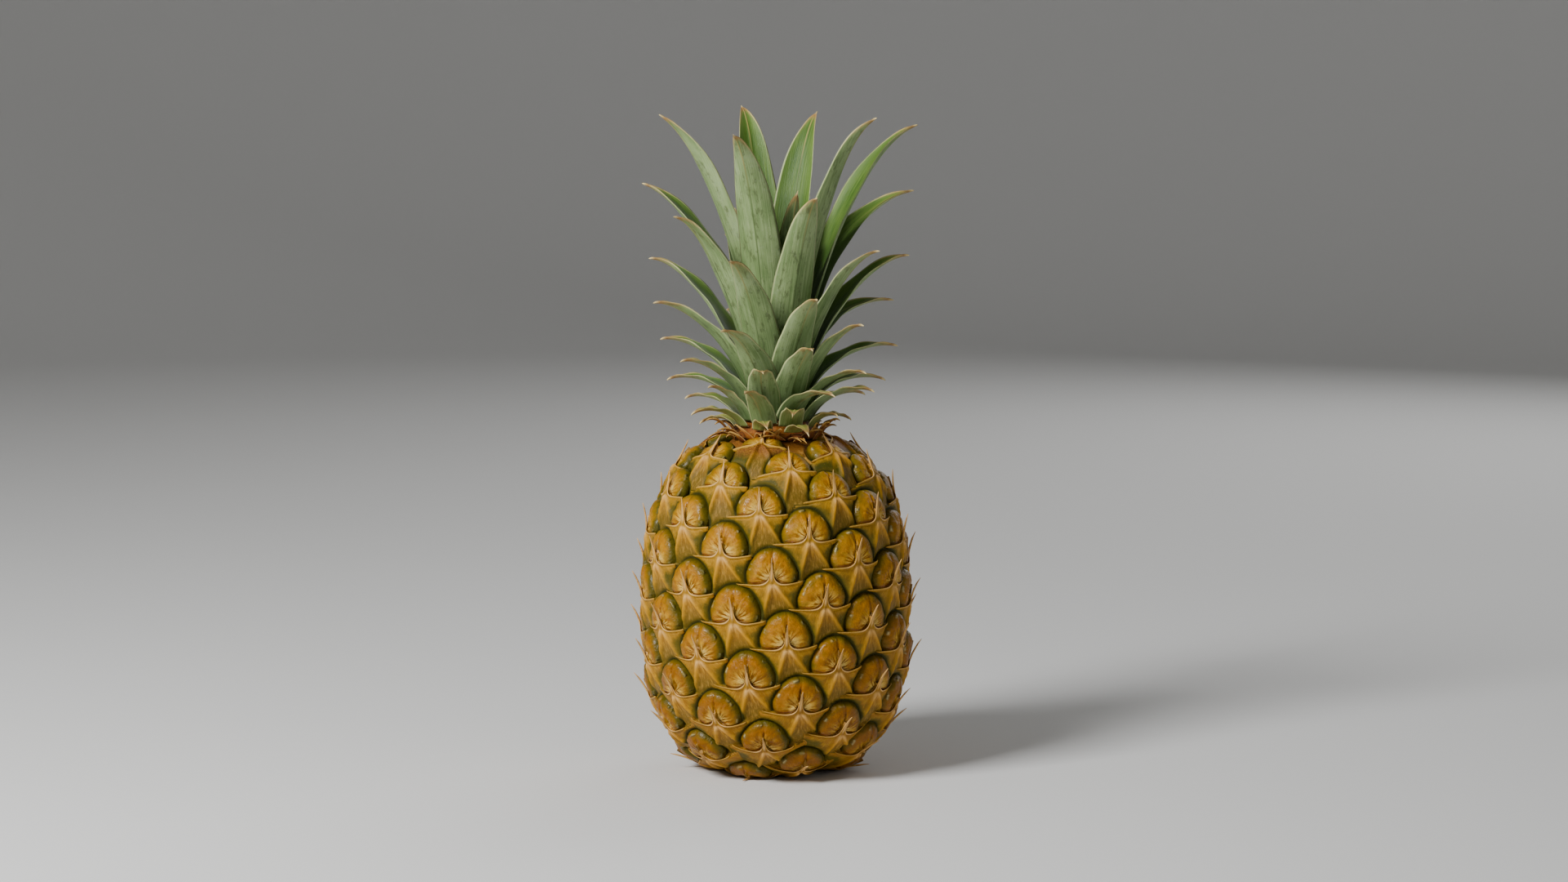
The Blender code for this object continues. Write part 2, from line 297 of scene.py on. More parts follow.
class Wire:
    """A value in a node tree. Arithmetic on it adds the nodes that work it out."""

    def __init__(self, tree, socket):
        self.tree, self.socket = tree, socket

    def maths(self, operation, *values):
        return self.tree.node("ShaderNodeMath", {"operation": operation}, values)

    def __add__(self, other):
        return self.maths("ADD", self, other)

    def __sub__(self, other):
        return self.maths("SUBTRACT", self, other)

    def __mul__(self, other):
        return self.maths("MULTIPLY", self, other)

    def __truediv__(self, other):
        return self.maths("DIVIDE", self, other)

    def __pow__(self, other):
        return self.maths("POWER", self, other)

    def __rsub__(self, other):
        return self.maths("SUBTRACT", other, self)

    def __rtruediv__(self, other):
        return self.maths("DIVIDE", other, self)

    def __neg__(self):
        return self.maths("MULTIPLY", self, -1.0)

    def __abs__(self):
        return self.maths("ABSOLUTE", self)

    __radd__, __rmul__ = __add__, __mul__

    def do(self, operation, *others):
        return self.maths(operation, self, *others)

    def fade(self, low, high):
        """0 below low and 1 above high, smooth between; high may be the smaller."""
        return self.tree.node(
            "ShaderNodeMapRange", {"interpolation_type": "SMOOTHSTEP"}, (self, low, high, 0.0, 1.0)
        )

    def bump_at(self, centre, width):
        """1 where the value is at the centre, falling to nothing a few widths away."""
        share = (self - centre) / width
        return (-(share * share)).do("EXPONENT")


class Tree:
    """A node tree that's being built: every node but those of plain maths comes from node()."""

    def __init__(self, tree):
        self.tree = tree

    def node(self, kind, settings=None, values=(), output=0):
        made = self.tree.nodes.new(kind)
        for name, value in (settings or {}).items():
            setattr(made, name, value)
        for key, value in values.items() if isinstance(values, dict) else enumerate(values):
            if isinstance(value, Wire):
                self.tree.links.new(value.socket, made.inputs[key])
            elif value is not None:
                made.inputs[key].default_value = value
        return Wire(self, made.outputs[output])


class Finish(Tree):
    """A material made of nodes round one Principled shader."""

    def __init__(self, name, **constants):
        self.material = bpy.data.materials.new(name)
        self.material.use_nodes = True
        super().__init__(self.material.node_tree)
        self.shader = self.tree.nodes["Principled BSDF"]
        for socket, value in constants.items():
            self.shader.inputs[socket.replace("_", " ")].default_value = value

    def reading(self, name):
        """What the mesh says of itself at each point."""
        return self.node("ShaderNodeAttribute", {"attribute_name": name}, output=2)

    def place(self, stretch=(1, 1, 1)):
        """Where a point is, in metres, stretched."""
        coordinates = self.node("ShaderNodeTexCoord", output=3)
        return self.node("ShaderNodeMapping", None, {0: coordinates, 3: stretch})

    def point(self, x, y, z=0.0):
        return self.node("ShaderNodeCombineXYZ", None, (x, y, z))

    def noise(self, at, scale, detail=3.0, roughness=0.55):
        return self.node("ShaderNodeTexNoise", None, {0: at, 2: scale, 3: detail, 4: roughness})

    def mix(self, share, low, high):
        low, high = (value if isinstance(value, Wire) else (*value, 1.0) for value in (low, high))
        return self.node("ShaderNodeMix", {"data_type": "RGBA"}, {0: share, 6: low, 7: high}, output=2)

    def put(self, **links):
        for socket, wire in links.items():
            self.tree.links.new(wire.socket, self.shader.inputs[socket.replace("_", " ")])
        return self.material

    def relief(self, height, distance, strength):
        values = {"Height": height, "Distance": distance, "Strength": strength}
        return self.node("ShaderNodeBump", None, values)


def use(thing, material):
    """Puts one material on the whole of a piece."""
    thing.data.materials.clear()
    thing.data.materials.append(material)


AMBER_GOLD = (0.46, 0.170, 0.0005)
BURNT_ORANGE = (0.235, 0.086, 0.0003)
OLIVE_GREEN = (0.135, 0.092, 0.001)
LEAF_GREEN = (0.055, 0.052, 0.001)
GROOVE_SHADE = (0.030, 0.031, 0.001)
CREAM = (0.64, 0.36, 0.075)
PALE_HORN = (0.82, 0.50, 0.19)
TAN_PINK = (0.33, 0.130, 0.014)
RIB_GOLD = (0.62, 0.29, 0.008)
STRAW = (0.36, 0.180, 0.002)
RUST_AND_SHADE_BROWN = (0.11, 0.022, 0.003)
RIPE_GOLD = (0.30, 0.115, 0.004)
STREAK_STRAW = (0.62, 0.36, 0.03)
SCURF_BROWN = (0.26, 0.085, 0.02)
WING_HORN = (0.50, 0.28, 0.030)
NECK_BROWN = (0.13, 0.040, 0.006)
NECK_TAN = (0.34, 0.15, 0.02)


def bract_finish(name, brown_near_neck=False):
    """Leathery bract: tan between its ribs, gold ribs, olive wings, cream along the margin."""
    f = Finish(name, Specular_IOR_Level=0.20)
    across, up, groove, edge = (f.reading(n) for n in ("across", "up", "groove", "edge"))
    seed, ripe, lip = f.reading("seed"), f.reading("ripeness"), f.reading("lip")
    at = f.point(across, up, seed * 60.0)
    coarse = f.noise(at, 0.33, 2.0)
    grain = f.noise(at, 1.5, 4.0, 0.65)
    fall = (-up).fade(0.0, 14.0)
    wander = (coarse - 0.5) * 1.6
    left_rib = (across - up * LEFT_RIB_LEAN + wander * 0.4).bump_at(0.0, 1.0)
    right_rib = (across + up * RIGHT_RIB_LEAN + wander * 0.4).bump_at(0.0, 1.1)
    below = (-up).fade(0.3, 2.2)
    panel = abs((across + up * PANEL_LEAN) / (0.5 - up * 0.40)).fade(1.25, 0.75) * below
    lean = f.point(across / (1.0 - up * 0.12) * 1.6, up * 0.16, seed * 40.0)
    streaks = f.noise(lean, 1.9, 3.0, 0.6)
    outer = (abs(across) - 2.5 + up * 0.45).fade(0.0, 6.5)
    green_share = fall * 0.55 + outer * fall.fade(0.0, 0.5) * 0.60 + coarse * 0.7 - ripe * 0.22 - 0.10
    gold = f.mix(ripe * 0.8 * coarse.fade(0.30, 0.55), STRAW, RIPE_GOLD)
    gold = f.mix(streaks.fade(0.45, 0.75) * 0.5, gold, STREAK_STRAW)
    wing = f.mix(green_share.fade(0.15, 0.80), gold, f.mix(ripe * 0.6, LEAF_GREEN, OLIVE_GREEN))
    tan = f.mix(streaks.fade(0.45, 0.72) * 0.6, f.mix(fall * 0.7, TAN_PINK, OLIVE_GREEN), CREAM)
    tan = f.mix(grain.fade(0.52, 0.75) * 0.5, tan, SCURF_BROWN)
    colour = f.mix(panel * (0.40 + coarse * 0.45), wing, tan)
    ribs = left_rib.do("MAXIMUM", right_rib * 0.85) * below
    middle_rib = (across + up * PANEL_LEAN + wander * 0.5).bump_at(0.0, 0.6)
    middle_rib = middle_rib * (-up).fade(10.0, 3.0) * below
    ribs = ribs.do("MAXIMUM", middle_rib * 0.75)
    rib_colour = f.mix((-up).fade(6.5, 1.0) * 0.75, RIB_GOLD, PALE_HORN)
    colour = f.mix(ribs * (1.0 - fall * 0.45), colour, rib_colour)
    colour = f.mix(grain.fade(0.60, 0.72) * 0.35, colour, CREAM)
    near_margin = lip.fade(0.15, 0.65)
    wingward = abs(across).fade(2.5, 10.0)
    horn = f.mix(wingward * 0.75 + streaks.fade(0.3, 0.8) * 0.25, PALE_HORN, WING_HORN)
    colour = f.mix(near_margin * 0.85, colour, horn)
    beak = up.fade(0.8, 3.5)
    ridge = across.bump_at(0.0, 0.45) * up.fade(-0.5, 2.0)
    colour = f.mix(beak * 0.85, colour, f.mix(streaks.fade(0.30, 0.60), TAN_PINK, CREAM))
    colour = f.mix(ridge * 0.7, colour, PALE_HORN)
    shade = (edge + (coarse - 0.5) * 0.5) * (1.0 - near_margin)
    colour = f.mix(shade.fade(0.15, 0.75) * 0.7, colour, OLIVE_GREEN)
    colour = f.mix(shade.fade(0.45, 1.0) * 0.8, colour, LEAF_GREEN)
    # Painted shade: the grooves round the domes are darkened to near-black olive.
    colour = f.mix(groove.fade(0.35, 0.95) * 0.9, colour, GROOVE_SHADE)
    # The rind is coloured dark brown and tan in the last few mm below the neck.
    if brown_near_neck:
        level = f.node("ShaderNodeSeparateXYZ", None, (f.place(),), output=2)
        neck = (level + coarse * 0.004).fade(NECK_LEVEL - 0.0055, NECK_LEVEL - 0.0005)
        colour = f.mix(neck, colour, f.mix(grain.fade(0.4, 0.7), NECK_BROWN, NECK_TAN))
    bumps = streaks * 0.5 + grain * 0.35
    return f.put(
        Base_Color=colour,
        Roughness=0.36 + grain * 0.25 + groove * 0.2,
        Normal=f.relief(bumps, 0.0006, 0.8),
    )


use(rind, bract_finish("rind", brown_near_neck=True))
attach(rind, "root")
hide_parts("fruit")

# ---------------------------------------------------------------- The domes
# Above each margin an eye swells into a waxy amber dome of two lobes, with a hollow behind the
# beak and beads along its rim that carry painted pale glints. It is the same skin as the rind,
# ripened from green to gold.
DOME_SPOKES = 60
DOME_ROOT = 1.0  # mm that a dome's rim goes into the rind
CREASE_DEPTH = 0.45
HOLLOW_DEPTH = 1.7
BEAD_COUNT = 15
BEAD_STAND = 0.35
LOBE_STAND = 0.35
UNDER_BRACT = 1.3
CLEAR_OF_FLOOR = 0.3  # mm
DOME_UNEVENNESS = 2.2  # mm from the lowest lump to the highest
LUMP_SCALE = 190.0  # lumps in a metre of skin
DOME_RINGS = (1.0, 0.985, 0.955, 0.91, 0.86, 0.80, 0.73, 0.65, 0.56, 0.47, 0.38, 0.29, 0.20, 0.11)


def dome_height(across, up):
    """How far a dome stands out, mm, from its middle to its outline."""
    share = dome_share(across, up)
    swell = GROOVE_FLOOR + (DOME_CROWN - GROOVE_FLOOR) * np.maximum(0, 1 - share**2.9) ** 0.55
    crease = CREASE_DEPTH * np.exp(-((across / 0.7) ** 2)) * step_up(up, 6, 10)
    hollow = HOLLOW_DEPTH * np.exp(-(((across / 6.6) ** 2 + ((up - 1.2) / 5.6) ** 2) ** 1.6))
    angle = np.arctan2(up - DOME_MIDDLE, across)
    beads = np.maximum(0, np.sin(angle * BEAD_COUNT)) * np.clip(-across / 6 + 0.4, 0, 1)
    rim = (0.2 + BEAD_STAND * beads) * np.exp(-(((share - 0.84) / 0.06) ** 2))
    lobes = LOBE_STAND * np.exp(-(((np.abs(across) - 3.0) / 1.9) ** 2) - ((up - 12.6) / 2.0) ** 2)
    height = swell - crease - hollow + rim + lobes
    below = step_up(margin_height(across) - up, 0.0, 1.4)
    sunk = np.minimum(height, bract_height(across, np.minimum(up, 0)) - UNDER_BRACT)
    return height * (1 - below) + sunk * below


def dome_pattern():
    """A dome's points, ring by ring from its outline to its crown, then the middle of its root."""
    points, faces = [], []
    for ring in DOME_RINGS:
        for spoke in range(DOME_SPOKES):
            angle = 2 * math.pi * spoke / DOME_SPOKES
            c, s = math.cos(angle), math.sin(angle)
            reach = (abs(c) ** DOME_POWER + abs(s) ** DOME_POWER) ** (-1 / DOME_POWER) * ring
            half = DOME_RISE if s > 0 else DOME_FALL
            rise = reach * s * half
            across = reach * c * DOME_HALF_WIDTH / (1 + DOME_TAPER * max(rise, 0))
            points.append((across, DOME_MIDDLE + rise, 0.0))
    crown = len(points)
    root = crown + 1
    points += [(0.0, DOME_MIDDLE, 0.0)] * 2
    for ring in range(len(DOME_RINGS) - 1):
        for spoke in range(DOME_SPOKES):
            after = (spoke + 1) % DOME_SPOKES
            a, b = ring * DOME_SPOKES + spoke, ring * DOME_SPOKES + after
            faces.append((a, b, b + DOME_SPOKES, a + DOME_SPOKES))
    inner = (len(DOME_RINGS) - 1) * DOME_SPOKES
    for spoke in range(DOME_SPOKES):
        after = (spoke + 1) % DOME_SPOKES
        faces.append((inner + spoke, inner + after, crown))
        faces.append((after, spoke, root))
    return np.array(points), faces


def pattern_object(name, points, faces, height, lip=None):
    """A flat pattern in metres that carries its own places in mm, to be laid on the fruit."""
    pattern = mesh_object(name, points * MM, faces)
    give(pattern, "across", points[:, 0])
    give(pattern, "up", points[:, 1])
    give(pattern, "stand", height)
    give(pattern, "lip", np.zeros(len(points)) if lip is None else lip)
    for of_the_rind in ("groove", "edge"):
        give(pattern, of_the_rind, np.zeros(len(points)))
    return pattern


def eye_cloud():
    """One point for each eye, with its turn, size and what its finish needs."""
    cloud = mesh_object("eye_places", eye_place, [])
    turns = [Matrix(np.stack(axes, 1).tolist()).to_euler() for axes in zip(eye_east, eye_north, eye_out)]
    give(cloud, "turn", np.array([tuple(t) for t in turns]), "FLOAT_VECTOR")
    give(cloud, "size", eye_size)
    give(cloud, "seed", eye_seed)
    give(cloud, "ripeness", eye_ripeness)
    return cloud


def barrel_guide():
    """The plain barrel that patterns are laid on."""
    rows, columns = 120, 180
    turn = np.arange(columns) * 2 * math.pi / columns
    azimuth, height = np.meshgrid(turn, levels_down(rows, 0.02))
    points = on_barrel(azimuth, fruit_radius(height), height).reshape(-1, 3)
    guide = mesh_object("barrel_guide", points, ring_faces(rows, columns))
    give(guide, "facing", on_barrel(azimuth, *outward_slope(height)).reshape(-1, 3), "FLOAT_VECTOR")
    return guide


def geometry_tree(name, inputs):
    """An empty Geometry Nodes tree with named inputs, and the means to set them."""
    group = bpy.data.node_groups.new(name, "GeometryNodeTree")
    group.interface.new_socket("Geometry", in_out="INPUT", socket_type="NodeSocketGeometry")
    identifiers = {}
    for label, kind in inputs.items():
        made = group.interface.new_socket(label, in_out="INPUT", socket_type="NodeSocket" + kind)
        identifiers[label] = made.identifier
    group.interface.new_socket("Geometry", in_out="OUTPUT", socket_type="NodeSocketGeometry")
    tree = Tree(group)
    entry = group.nodes.new("NodeGroupInput")
    wires = {label: Wire(tree, entry.outputs[label]) for label in ("Geometry", *inputs)}
    return tree, wires, identifiers


def finish_tree(tree, geometry):
    """Sends the geometry out of the tree."""
    exit_node = tree.tree.nodes.new("NodeGroupOutput")
    tree.tree.links.new(geometry.socket, exit_node.inputs[0])


def grown(source, tree, identifiers, settings, name):
    """The plain mesh that a tree makes of a source object."""
    modifier = source.modifiers.new("grow", "NODES")
    modifier.node_group = tree.tree
    for label, value in settings.items():
        modifier[identifiers[label]] = value
    bpy.context.view_layer.update()
    mesh = bpy.data.meshes.new_from_object(source.evaluated_get(bpy.context.evaluated_depsgraph_get()))
    source.modifiers.remove(modifier)
    mesh.name = name
    made = bpy.data.objects.new(name, mesh)
    bpy.context.scene.collection.objects.link(made)
    return made


def named(tree, name, kind="FLOAT"):
    """What each point carries under a name."""
    return tree.node("GeometryNodeInputNamedAttribute", {"data_type": kind}, {0: name})


def laying_tree():
    """Lays one copy of a flat pattern on every eye and bends it to the barrel."""
    kinds = {
        "Pattern": "Object", "Barrel": "Object", "Millimetre": "Float", "Unevenness": "Float",
        "Finish": "Material",
    }
    tree, given, identifiers = geometry_tree("lay_on_fruit", kinds)
    pattern = tree.node("GeometryNodeObjectInfo", None, {0: given["Pattern"]}, output="Geometry")
    barrel = tree.node("GeometryNodeObjectInfo", None, {0: given["Barrel"]}, output="Geometry")
    spread = {"Points": given["Geometry"], "Instance": pattern}
    spread.update({"Rotation": named(tree, "turn", "FLOAT_VECTOR"), "Scale": named(tree, "size")})
    copies = tree.node("GeometryNodeInstanceOnPoints", None, spread)
    laid = tree.node("GeometryNodeRealizeInstances", None, (copies,))

    def nearest(value):
        """What the barrel has at its nearest place."""
        kind = {"data_type": "FLOAT_VECTOR"}
        return tree.node("GeometryNodeSampleNearestSurface", kind, {"Mesh": barrel, "Value": value})

    foot = nearest(tree.node("GeometryNodeInputPosition"))
    facing = nearest(named(tree, "facing", "FLOAT_VECTOR"))
    noise = {"Vector": foot, "Scale": LUMP_SCALE, "Detail": 2.0}
    lumps = tree.node("ShaderNodeTexNoise", None, noise) - 0.5
    stand = named(tree, "stand") * named(tree, "size") + lumps * given["Unevenness"]
    stand = stand * given["Millimetre"]
    lift = tree.node("ShaderNodeVectorMath", {"operation": "SCALE"}, {0: facing, "Scale": stand})
    place = tree.node("ShaderNodeVectorMath", {"operation": "ADD"}, (foot, lift))
    level = tree.node("ShaderNodeSeparateXYZ", None, (place,), output=2)
    lowest = given["Millimetre"] * CLEAR_OF_FLOOR
    sunk = level.do("MINIMUM", lowest) - lowest
    sink = tree.node("ShaderNodeCombineXYZ", None, (0.0, 0.0, sunk))
    place = tree.node("ShaderNodeVectorMath", {"operation": "SUBTRACT"}, (place, sink))
    moved = tree.node("GeometryNodeSetPosition", None, {"Geometry": laid, "Position": place})
    finish_tree(tree, tree.node("GeometryNodeSetMaterial", None, {0: moved, "Material": given["Finish"]}))
    return tree, identifiers


FURROW_BROWN = (0.17, 0.055, 0.002)
STREAK_GOLD = (0.76, 0.45, 0.035)
BASIN_GOLD_AND_HIGHLIGHT = (0.92, 0.68, 0.22)
BEAD_GLINT = (0.74, 0.64, 0.30)


def dome_finish():
    """Waxy skin: golden streaks fan from the beak over amber, to an olive rim with beads that carry painted
    glints.
    """
    f = Finish("dome_skin", Specular_IOR_Level=0.14, Coat_Weight=0.09, Coat_Roughness=0.07)
    across, up, seed, ripe = (f.reading(n) for n in ("across", "up", "seed", "ripeness"))
    rise = up - DOME_MIDDLE
    half = (DOME_RISE + DOME_FALL) / 2
    widened = abs(across) * (1.0 + rise.do("MAXIMUM", 0.0) * DOME_TAPER) / DOME_HALF_WIDTH
    share = (widened**DOME_POWER + (abs(rise) / half) ** DOME_POWER) ** (1 / DOME_POWER)
    side = across - 0.3
    rise_from_beak = up - 0.5
    reach = (side * side + rise_from_beak * rise_from_beak) ** 0.5
    angle = rise_from_beak.do("ARCTAN2", side)
    at = f.point(across, up, seed * 70.0)
    coarse = f.noise(at, 0.16, 2.0)
    blotch = f.noise(at, 0.42, 3.0, 0.6)
    grain = f.noise(at, 2.2, 3.0, 0.6)
    fan = f.noise(f.point(angle * 3.4, reach * 0.11, seed * 31.0), 1.5, 4.0, 0.62)
    green = (coarse * 0.8 + share * 0.60 - ripe * 0.34 - 0.42).fade(0.05, 0.55)
    amber = f.mix((blotch * 0.7 + ripe * 0.35).fade(0.30, 0.75), AMBER_GOLD, BURNT_ORANGE)
    amber = f.mix(((1.0 - ripe) * 0.55), amber, STRAW)
    colour = f.mix(green * 0.85, amber, OLIVE_GREEN)
    furrows = fan.fade(0.52, 0.34) * reach.fade(12.0, 4.0)
    colour = f.mix(furrows * 0.65, colour, FURROW_BROWN)
    # Pale gold streaks fan from the beak as the skin's own colour; the palest gold near the basin is also a
    # painted highlight.
    streak_and_highlight = reach.fade(10.5, 2.0) * (fan * 0.80 + coarse * 0.30).fade(0.47, 0.63)
    colour = f.mix(streak_and_highlight * 0.9, colour, STREAK_GOLD)
    colour = f.mix(streak_and_highlight * reach.fade(7.5, 1.0) * 0.8, colour, BASIN_GOLD_AND_HIGHLIGHT)
    # Painted highlight: pale glints along the beads of the rim.
    beads = (angle * 7.5 + fan * 2.0).do("SINE").fade(0.35, 0.95)
    beads = beads * (share - coarse * 0.06).bump_at(0.83, 0.045)
    beads = beads * f.noise(at, 0.30, 1.0).fade(0.38, 0.58)
    colour = f.mix(beads * 0.9, colour, BEAD_GLINT)
    # Painted shade: a dark rust-brown line down the crease between the dome's two lobes.
    crease = (across + (blotch - 0.5) * 2.2).bump_at(0.0, 0.30)
    crease = crease * up.fade(6.0, 9.0) * share.fade(1.0, 0.9)
    colour = f.mix(crease * 0.55, colour, RUST_AND_SHADE_BROWN)
    # Painted shadow: a dark rust-brown band on the dome just above the margin, where the lip shades it.
    shoulders = (-((abs(across) / SHOULDER_WIDTH) ** 1.5)).do("EXPONENT") * SHOULDER_HEIGHT
    margin = shoulders - MARGIN_DROP + across * across * 0.005
    colour = f.mix((up - margin).bump_at(0.45, 0.5) * 0.85, colour, RUST_AND_SHADE_BROWN)
    # The olive and green rim is the skin's own; its reaching further in on the right of each eye is painted
    # shade.
    rim = share + (coarse - 0.5) * 0.30 + side * 0.010
    colour = f.mix(rim.fade(0.62, 0.92) * 0.6, colour, OLIVE_GREEN)
    colour = f.mix(rim.fade(0.78, 1.0) * 0.8, colour, LEAF_GREEN)
    # Painted shade: the dome's outline darkens where it drops into the groove.
    colour = f.mix(share.fade(0.95, 1.0) * 0.6, colour, GROOVE_SHADE)
    bumps = fan * 1.3 * reach.fade(12.0, 2.0) + beads * 0.8 + blotch * 0.6 + grain * 0.12
    return f.put(
        Base_Color=colour,
        Roughness=0.24 + grain * 0.14 + green * 0.1,
        Normal=f.relief(bumps, 0.0013, 0.9),
    )


places = eye_cloud()
barrel = barrel_guide()
lay, lay_inputs = laying_tree()
dome_points, dome_faces = dome_pattern()
dome_stand = dome_height(dome_points[:, 0], dome_points[:, 1])
dome_stand[:DOME_SPOKES] -= DOME_ROOT
dome_stand[-1] = GROOVE_FLOOR - DOME_ROOT
dome = pattern_object("dome_pattern", dome_points, dome_faces, dome_stand)
dome_inputs = {
    "Pattern": dome, "Barrel": barrel, "Millimetre": MM, "Unevenness": DOME_UNEVENNESS,
    "Finish": dome_finish(),
}
domes = grown(places, lay, lay_inputs, dome_inputs, "fruit_domes")
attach(domes, "root")
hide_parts("fruit")

# ---------------------------------------------------------------- The bracts' free edges
# Along each margin the bract is a thin dry lip, cream at its edge, whose wing tips cross the
# grooves and whose middle is drawn up into a horny beak that stands clear of the dome.
LIP_COLUMNS = 46
LIP_ROWS = 6
LIP_DEPTH = 4.6
LIP_THICKNESS = 0.55
WING_LEFT = 17.0
WING_RIGHT = 14.2
BEAK_BASE = 1.0
LIP_UNEVENNESS = 0.5


def lip_pattern():
    """A two-sided strip: its upper edge follows the margin and beak, its lower edge sinks in."""
    shares = np.linspace(-1, 1, LIP_COLUMNS + 1)
    points, heights, lips = [], [], []
    for side in (0, 1):
        for row in range(LIP_ROWS + 1):
            down = row / LIP_ROWS
            for share in shares:
                wing = WING_RIGHT if share > 0 else WING_LEFT
                across = wing * math.copysign(abs(share) ** 1.75, share)
                top = float(margin_height(across))
                taper = (1 - abs(share)) ** 0.5
                low = min(top, -1.2) - LIP_DEPTH * taper * (1 - 0.35 * abs(share))
                up = top + (low - top) * down**1.15
                base = float(bract_height(across, min(up, 0.0)))
                lift = 0.75 * (1 - down) ** 2 * taper**0.5 - 0.45 * down**3
                lift += 0.42 * math.exp(-(((top - up - 0.45) / 0.42) ** 2)) * taper**0.5
                beak = max(up - BEAK_BASE, 0)
                lift += 0.10 * beak + 0.032 * beak**2
                ridge = (1.35 - 0.10 * beak) * math.exp(-((across / 0.75) ** 2))
                ridge *= min(1, max(0, (up + 1.5) / 3))
                horn = 1.1 * min(1, beak / 3) * (1 - beak / 12)
                thick = LIP_THICKNESS * (0.4 + 0.6 * down + horn) * side
                edge = 1 - min(1, abs(top - up) / (0.9 + 0.08 * beak))
                points.append((across, up, 0.0))
                heights.append(base + lift + ridge - thick)
                lips.append(max(0.0, edge))
    wide, faces = LIP_COLUMNS + 1, []
    under = wide * (LIP_ROWS + 1)
    for row in range(LIP_ROWS):
        for column in range(LIP_COLUMNS):
            a, b = row * wide + column, (row + 1) * wide + column
            faces.append((a, b, b + 1, a + 1))
            faces.append((under + a, under + a + 1, under + b + 1, under + b))
    for column in range(LIP_COLUMNS):
        faces.append((column, column + 1, under + column + 1, under + column))
        low = LIP_ROWS * wide + column
        faces.append((low + 1, low, under + low, under + low + 1))
    for row in range(LIP_ROWS):
        a, b = row * wide, (row + 1) * wide
        faces.append((a, under + a, under + b, b))
        a, b = a + LIP_COLUMNS, b + LIP_COLUMNS
        faces.append((a, b, under + b, under + a))
    return np.array(points), faces, np.array(heights), np.array(lips)


lip_points, lip_faces, lip_heights, lip_values = lip_pattern()
lip = pattern_object("lip_pattern", lip_points, lip_faces, lip_heights, lip_values)
lip_inputs = {
    "Pattern": lip, "Barrel": barrel, "Millimetre": MM, "Unevenness": LIP_UNEVENNESS,
    "Finish": bract_finish("bract_edge"),
}
lips = grown(places, lay, lay_inputs, lip_inputs, "fruit_bract_edges")
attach(lips, "root")
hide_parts("fruit")
for scrap in (places, barrel, dome, lip):
    bpy.data.objects.remove(scrap)

# ---------------------------------------------------------------- The crown leaves
# Stiff blades wrap the stem in a 3/8 spiral. Each has a pale waxy outside, a greener channelled
# inside, a keel, thin pale margins and a hooked dry spine. They grow from the stem at their feet.
LEAF_COUNT = 54
LEAF_TURN = math.radians(-135.0)
FIRST_LEAF_AZIMUTH = math.radians(25.0)
STEM_HEIGHT = 0.0200
STEM_RADIUS = 0.0180
STEM_TIP_RADIUS = 0.0040
COLLAR_HEIGHT = 0.0030
FOOT_CLEARANCE = 0.0005
LEAF_THICKNESS = 0.0012
LEAF_FOOT_WIDTH = 0.85  # as a share of the leaf's width
LEAF_CURL = 0.9
SEED_STEP = 0.618
LEAF_ROWS = 64
LEAF_COLUMNS = 19
WRAP = 0.70  # half a leaf's foot, as a share of its distance from the stem's middle
TIP_TAPER = 1.10
SPINE_LENGTH = 0.0028
FOOT_HANDLE, TIP_HANDLE = 0.50, 0.14
PLACES = (0, 5, 11, 19, 27, 35, 43, 47, 48, 53)
TIP_LEVEL = (0.003, 0.010, 0.019, 0.031, 0.051, 0.084, 0.141, 0.147, 0.115, 0.070)
TIP_REACH = (0.037, 0.042, 0.047, 0.052, 0.056, 0.058, 0.056, 0.050, 0.024, 0.006)
LEAF_WIDTH = (0.0185, 0.0195, 0.0205, 0.0215, 0.0225, 0.0235, 0.0245, 0.0240, 0.0165, 0.0080)
FOOT_LEAN = (34, 30, 25, 21, 16, 12, 8, 5, 4, 1)
TIP_LEAN = (165, 160, 150, 135, 118, 100, 75, 60, 30, 8)
# A leaf's place on the spiral: how far its tip swings, in degrees, rises and reaches, in mm.
STRAYS = {
    0: (0, 0, -1), 3: (15, -1, -3), 5: (-18, 1, -6), 8: (-15, -2, -2), 11: (0, 4, -5),
    14: (12, 1, -10), 16: (12, -5, -5), 17: (5, -3, 2), 18: (-6, -5, 3), 19: (14, 2, -1),
    21: (-8, -5, -6), 22: (3, -2, -4), 24: (-6, 0, -3), 25: (5, -2, 1), 26: (-6, -8, 5),
    27: (-8, 1, -3), 29: (-12, -6, -9), 30: (-5, 0, 3), 31: (-32, -7, 14), 32: (-5, -5, -2),
    33: (5, 6, 4), 34: (-5, 3, 9), 35: (-2, 0, -2), 37: (-5, -11, -5), 38: (11, -2, 0),
    39: (-36, 0, 22), 40: (-5, -7, -2), 41: (3, -10, 9), 42: (-6, 10, 14), 44: (-5, 10, -6),
    45: (-5, 4, -2), 46: (0, 4, 7), 47: (-8, 3, -8),
}


def stored(tree, geometry, name, value):
    """Keeps a value on the points under a name."""
    return tree.node(
        "GeometryNodeStoreNamedAttribute",
        {"data_type": "FLOAT", "domain": "POINT"},
        {"Geometry": geometry, "Name": name, "Value": value},
    )


